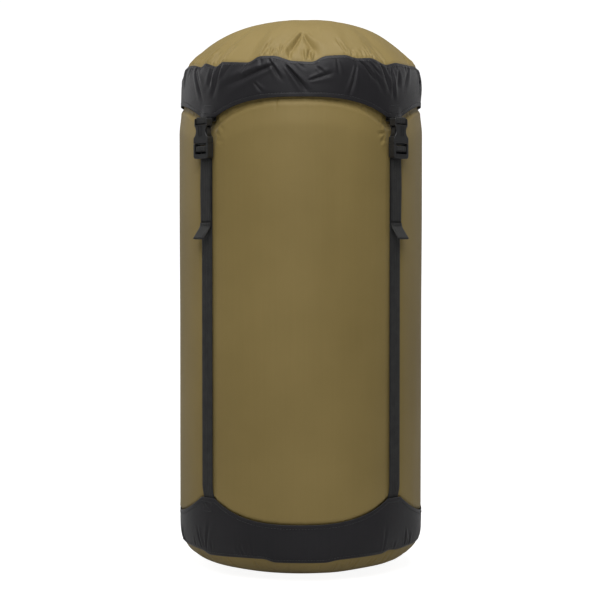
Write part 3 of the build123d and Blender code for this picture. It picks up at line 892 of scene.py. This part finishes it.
def add_floor():
    """A pale floor that sweeps up behind the sack, as (depth, rise) steps drawn out to both sides."""
    front, bend, radius, half_width, top = -6.0, 1.2, 2.0, 6.0, 6.0
    curve = np.linspace(bend, bend + radius, 24)
    depth = np.concatenate([[front], curve, [bend + radius]])
    rise = radius - np.sqrt(np.maximum(0, radius**2 - (curve - bend) ** 2))
    rise = np.concatenate([[0.0], rise, [top]])
    width = np.array([-half_width, half_width])
    points = np.stack(np.broadcast_arrays(width[None, :], depth[:, None], rise[:, None]), axis=-1)
    index = np.arange(len(depth) * 2).reshape(-1, 2)
    quads = np.stack([index[:-1, 0], index[:-1, 1], index[1:, 1], index[1:, 0]], axis=-1)
    sweep = mesh_object("floor", points, quads.tolist())
    sweep.data.materials.append(paper)


def add_surround():
    """An even white surround. Like the floor, it is bright to the eye and gives the sack little light."""
    world = bpy.data.worlds.new("studio")
    world.use_nodes = True
    background = world.node_tree.nodes["Background"]
    background.inputs["Color"].default_value = (1, 1, 1, 1)
    seen = world.node_tree.nodes.new("ShaderNodeLightPath").outputs["Is Camera Ray"]
    strength = world.node_tree.nodes.new("ShaderNodeMapRange")
    strength.inputs["To Min"].default_value = 0.03
    strength.inputs["To Max"].default_value = 1.0
    world.node_tree.links.new(seen, strength.inputs["Value"])
    world.node_tree.links.new(strength.outputs[0], background.inputs["Strength"])
    bpy.context.scene.world = world
    bpy.context.scene.view_settings.view_transform = "Standard"


add_camera()
add_floor()
for light in LIGHTS:
    add_light(*light)
add_surround()

# ---------------------------------------------------------------- cloth pieces


def shorten(piece):
    """Gives a piece a mesh of its own."""
    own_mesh(piece)


tube = cloth("tube_cloth", tube_surface, 250, 640, COLLAR_Z - BASE_SEAM)
finish_piece(tube, "sack", olive, "olive_nylon", "sack_tube")
shorten(tube)

lid_band = cloth("lid_band_cloth", lid_band_surface, 70, 880, LID_SEAM - LID_ARCH)
thicken(lid_band, BAND_CLOTH)
finish_piece(lid_band, "lid", black, "black_nylon", "lid_band", "lid_band_binding")

crown = cloth("lid_crown_cloth", crown_surface, 110, 880, RADIUS * 1.1, crowd=1.3)
finish_piece(crown, "lid", olive, "olive_nylon", "lid_top")

base_band = cloth("base_band_cloth", base_band_surface, 60, 760, BASE_ARCH - BASE_SEAM)
thicken(base_band, BAND_CLOTH)
finish_piece(base_band, "sack", black, "black_nylon", "base_band", "base_band_binding")

base = cloth("base_cloth", base_surface, 80, 760, RADIUS)
finish_piece(base, "sack", olive, "olive_nylon", "base_panel")

collar = cloth("collar_cloth", collar_surface, 70, 720, RADIUS)
finish_piece(collar, "mouth", black, "black_nylon", "mouth_collar")

hem = cloth("mouth_hem_cloth", hem_surface, 40, 240, 40 * MM, loop=True)
finish_piece(hem, "mouth", black, "black_nylon", "mouth_hem")

# ---------------------------------------------------------------- stitches of the cloth


def stitch_row(name, body, surface, edge, other, distance, from_top=False):
    """Stitches round a surface, at a distance from one edge. from_top says that its share there is 1."""

    def share_at(bearing):
        share = distance / np.abs(other(bearing) - edge(bearing))
        return 1 - share if from_top else share

    row = thread(name, seam_spans(surface, share_at))
    finish_piece(row, body, black_thread, "webbing")


stitch_row("lid_stitches", "lid", lid_band_surface, lid_edge, lid_seam, HEM_STITCH)
stitch_row("crown_stitches", "lid", lid_band_surface, lid_seam, lid_edge, SEAM_STITCH, from_top=True)
stitch_row("base_edge_stitches", "sack", base_band_surface, base_edge, base_seam, HEM_STITCH, from_top=True)
stitch_row("base_seam_stitches", "sack", base_band_surface, base_seam, base_edge, SEAM_STITCH)

# ---------------------------------------------------------------- webbing


def local_box(node, bearing):
    """Lowest and highest (across, out, z) of a CAD node, turned back to face its own bearing."""
    vertices = frame["nodes"][node].data.vertices
    co = np.array([v.co for v in vertices])
    across = co[:, 0] * np.cos(bearing) + co[:, 1] * np.sin(bearing)
    out = co[:, 0] * np.sin(bearing) - co[:, 1] * np.cos(bearing)
    local = np.stack([across, out, co[:, 2]], axis=1)
    return local.min(0), local.max(0)


def add_run(place, bearing):
    """The run up the tube, from under the base band up to the ladder lock."""
    low, high = local_box(f"strap_{place}", bearing)
    sewn_out = low[1] + WEBBING / 2
    run_out = high[1] - WEBBING / 2
    corners = [
        (sewn_out, low[2]),
        (sewn_out, BASE_TIP - 2 * MM),
        (run_out, BASE_TIP + 9 * MM),
        (run_out, high[2]),
    ]
    run = ribbon(f"strap_run_{place}", divided(rounded(corners, 6 * MM), 6 * MM), bearing)
    finish_piece(run, "sack", webbing, "webbing", f"strap_{place}")
    shorten(run)


def add_tail(place, bearing):
    """The tail, over the ladder lock's middle bar and down behind its end bar to the pull tab."""
    strap_high = local_box(f"strap_{place}", bearing)[1]
    tail_high = local_box(f"strap_tail_{place}", bearing)[1]
    female_low = local_box(f"buckle_female_{place}", bearing)[0]
    tab_top = local_box(f"strap_tab_{place}", bearing)[1][2]
    half = WEBBING / 2
    run_out = strap_high[1] - half
    tail_out = female_low[1] - PLY_GAP + half
    wrap_out = tail_high[1] - half
    top = tail_high[2] - half + 1.1 * MM
    bottom = top - 5.5 * MM
    corners = [
        (run_out, strap_high[2] + 0.1 * MM),
        (run_out, top),
        (wrap_out, top),
        (wrap_out, bottom),
        (tail_out, bottom),
        (tail_out + 0.1 * MM, bottom - 12 * MM),
        (tail_out + 0.7 * MM, (bottom + tab_top) / 2),
        (tail_out + 0.1 * MM, tab_top + 5 * MM),
        (tail_out, tab_top),
    ]
    path = divided(rounded(corners, 1.3 * MM), 4 * MM)
    tail = ribbon(f"strap_tail_cloth_{place}", path, bearing)
    finish_piece(tail, None, webbing, "webbing", f"strap_tail_{place}")
    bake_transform(tail)


def add_tab(place, bearing):
    """The pull tab: the tail's end folded over twice, sewn, and kicked out."""
    low, high = local_box(f"strap_tab_{place}", bearing)
    flare = high[1] - low[1] - 2 * WEBBING
    fold_out = low[1] + WEBBING
    corners = [
        (fold_out, high[2] + 0.4 * MM),
        (fold_out + 0.1 * MM, high[2] - 3.6 * MM),
        (fold_out + 0.62 * flare, low[2] + 5.5 * MM),
        (fold_out + 0.92 * flare, low[2] + 1.4 * MM),
    ]
    path = divided(rounded(corners, 3 * MM), 1.5 * MM)
    tab = ribbon(f"pull_tab_{place}", path, bearing, thickness=2.1 * WEBBING)
    finish_piece(tab, f"tab_{place}", webbing, "webbing", f"strap_tab_{place}")


def add_loop(place, bearing):
    """The lid's loop, sewn to the lid's tip and passed round the female half's bar."""
    loop_low, loop_high = local_box(f"lid_loop_{place}", bearing)
    female_low, female_high = local_box(f"buckle_female_{place}", bearing)
    half = WEBBING / 2
    leg_in = loop_low[1] + half
    leg_out = leg_in + WEBBING + PLY_GAP
    bar_back = female_low[1] + 1.1 * MM
    bar_front = loop_high[1] - half
    low = loop_low[2] + half - 1.1 * MM
    corners = [
        (leg_in, loop_high[2]),
        (leg_in, LID_TIP - 3.4 * MM),
        (bar_back, low + 3 * MM),
        (bar_back, low),
        (bar_front, low),
        (bar_front, female_high[2] + 1.0 * MM),
        (leg_out, LID_TIP - 1.4 * MM),
        (leg_out, loop_high[2]),
    ]
    loop = ribbon(f"lid_loop_cloth_{place}", divided(rounded(corners, 0.9 * MM), 3 * MM), bearing)
    finish_piece(loop, "lid", webbing, "webbing", f"lid_loop_{place}")


def add_tacks(place, bearing):
    """Bar tacks through both bands over the strap's sewn ends, and the pull tab's stitches."""
    wide = WEBBING_WIDTH / 2 - 1.8 * MM
    bars = []
    for z in (LID_TIP + 5.5 * MM, LID_TIP + 12.5 * MM):
        bars += line_spans([(-wide, z), (wide, z)], 1.7 * MM, bearing, RADIUS + 0.55 * MM)
    finish_piece(thread(f"lid_tack_{place}", bars), "lid", black_thread, "webbing")

    upper, lower = BASE_TIP - 5 * MM, BASE_TIP - 14 * MM
    box = [(-wide, upper), (wide, upper), (wide, lower), (-wide, lower), (-wide, upper), (wide, lower)]
    spans = line_spans(box, 2.0 * MM, bearing, RADIUS + 1.0 * MM)
    finish_piece(thread(f"base_tack_{place}", spans), "sack", black_thread, "webbing")

    tab_low, tab_high = local_box(f"strap_tab_{place}", bearing)
    fold_out = tab_low[1] + WEBBING
    z = tab_high[2] - 1.8 * MM
    spans = line_spans([(-wide, z), (wide, z)], 1.8 * MM, bearing, fold_out + 1.1 * WEBBING + 0.05 * MM)
    finish_piece(thread(f"tab_tack_{place}", spans), f"tab_{place}", black_thread, "webbing")


for place, bearing in STRAPS.items():
    add_run(place, bearing)
    add_tail(place, bearing)
    add_tab(place, bearing)
    add_loop(place, bearing)
    add_tacks(place, bearing)

# ---------------------------------------------------------------- pieces kept from the frame


def coat(node, material):
    """Gives a kept CAD node its material."""
    node.data.materials.clear()
    node.data.materials.append(material)


for name, node in frame["nodes"].items():
    if name.startswith("buckle"):
        coat(node, plastic)
    elif name == "hem_eyelets":
        coat(node, eyelet_metal)
